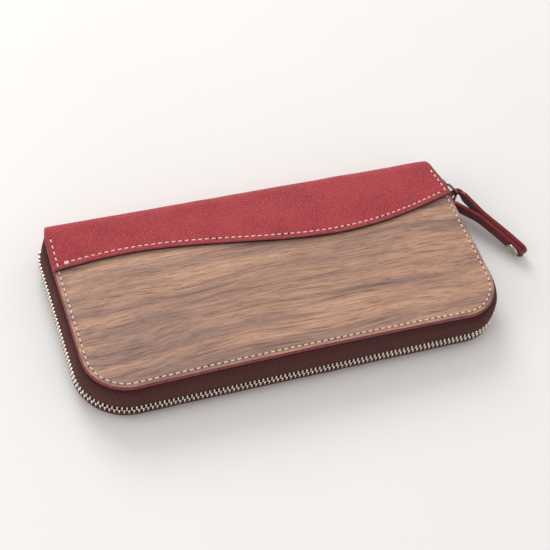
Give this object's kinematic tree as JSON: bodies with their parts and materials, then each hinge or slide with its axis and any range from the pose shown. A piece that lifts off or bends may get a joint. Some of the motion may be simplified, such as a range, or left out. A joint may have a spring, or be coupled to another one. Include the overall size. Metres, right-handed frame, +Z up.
{
  "type": "zip around wallet",
  "caption": "Long zip around wallet with walnut veneer covers, a leather wrapped spine, a metal zip round three sides, a leather pull strap and a fanning interior with a coin pocket.",
  "frame": {"origin": "middle of the flat underside of the closed wallet", "axes": "+X along the spine towards the end where the zip slider parks, +Y towards the spine, +Z up out of the upper cover"},
  "size_m": [0.2382, 0.0987, 0.0245],
  "materials": {
    "walnut": "oiled open-grain veneer",
    "edge_leather": "painted edge",
    "board": "matte",
    "lining_leather": "smooth",
    "inner_leather": "smooth",
    "gusset_cloth": "matte twill",
    "zip_tape": "woven herringbone",
    "zip_metal": "polished nickel",
    "slider_metal": "polished nickel",
    "thread": "waxed cream thread",
    "red_leather": "pebbled",
    "strap_leather": "smooth"
  },
  "bodies": {
    "lower_half": {"lower_wood_panel": "walnut", "lower_cover_backing": "edge_leather", "lower_stiffener_board": "board", "lower_lining": "lining_leather", "lower_card_slot_1": "inner_leather", "lower_card_slot_2": "inner_leather", "lower_card_slot_3": "inner_leather", "lower_card_slot_4": "inner_leather", "lower_zip_tape": "zip_tape", "lower_zip_teeth": "zip_metal", "lower_end_stops": "zip_metal", "lower_edge_thread": "thread", "lower_wave_thread": "thread", "spine_leather_lower": "red_leather", "left_gusset": "gusset_cloth", "right_gusset": "gusset_cloth"},
    "upper_half": {"upper_wood_panel": "walnut", "upper_cover_backing": "edge_leather", "upper_stiffener_board": "board", "upper_lining": "lining_leather", "upper_card_slot_1": "inner_leather", "upper_card_slot_2": "inner_leather", "upper_card_slot_3": "inner_leather", "upper_card_slot_4": "inner_leather", "upper_zip_tape": "zip_tape", "upper_zip_teeth": "zip_metal", "upper_end_stops": "zip_metal", "upper_edge_thread": "thread", "upper_wave_thread": "thread", "spine_leather_upper": "red_leather"},
    "lower_divider": {"lower_note_divider": "inner_leather"},
    "coin_pocket": {"coin_pocket_lower_wall": "inner_leather", "coin_pocket_upper_wall": "inner_leather", "coin_pocket_edge_band": "gusset_cloth", "coin_zip_lower_tape": "zip_tape", "coin_zip_upper_tape": "zip_tape", "coin_zip_teeth": "zip_metal", "coin_zip_stops": "zip_metal"},
    "upper_divider": {"upper_note_divider": "inner_leather"},
    "zip_slider": {"zip_slider_body": "slider_metal"},
    "pull_link": {"pull_link": "slider_metal"},
    "pull_strap": {"strap_leather": "strap_leather", "rivet_cap": "slider_metal", "rivet_post": "slider_metal"},
    "coin_zip_slider": {"coin_slider_body": "slider_metal"},
    "coin_zip_pull": {"coin_pull_tab": "slider_metal"}
  },
  "joints": [
    {"name": "cover_open", "type": "hinge", "parent": "lower_half", "child": "upper_half", "pos_m": [0, 0.0472, 0.0086], "axis": [-1, 0, 0], "range_deg": [0, 65], "deforming": ["left_gusset", "right_gusset"]},
    {"name": "lower_divider_fan", "type": "hinge", "parent": "lower_half", "child": "lower_divider", "pos_m": [0, 0.0472, 0.0086], "axis": [-1, 0, 0], "range_deg": [0, 17]},
    {"name": "coin_pocket_fan", "type": "hinge", "parent": "lower_half", "child": "coin_pocket", "pos_m": [0, 0.0472, 0.0086], "axis": [-1, 0, 0], "range_deg": [0, 33]},
    {"name": "upper_divider_fan", "type": "hinge", "parent": "lower_half", "child": "upper_divider", "pos_m": [0, 0.0472, 0.0086], "axis": [-1, 0, 0], "range_deg": [0, 49]},
    {"name": "zip_slide", "type": "slide", "parent": "lower_half", "child": "zip_slider", "axis": [0, -1, 0], "range_m": [0, 0.055]},
    {"name": "link_swing", "type": "hinge", "parent": "zip_slider", "child": "pull_link", "pos_m": [0.10608, 0.0365, 0.0086], "axis": [0, 0, 1], "range_deg": [-3, 105]},
    {"name": "strap_swing", "type": "hinge", "parent": "pull_link", "child": "pull_strap", "pos_m": [0.10936, 0.02748, 0.0086], "axis": [0, 0, 1], "range_deg": [-3, 30]},
    {"name": "coin_slide", "type": "slide", "parent": "coin_pocket", "child": "coin_zip_slider", "axis": [-1, 0, 0], "range_m": [0, 0.14]},
    {"name": "coin_pull_swing", "type": "hinge", "parent": "coin_zip_slider", "child": "coin_zip_pull", "pos_m": [0.07, -0.03558, 0.0108], "axis": [0, 0, -1], "range_deg": [0, 170]}
  ],
  "couplings": [
    {"joint": "lower_divider_fan", "follows": "cover_open", "ratio": 0.25},
    {"joint": "coin_pocket_fan", "follows": "cover_open", "ratio": 0.5},
    {"joint": "upper_divider_fan", "follows": "cover_open", "ratio": 0.75}
  ]
}
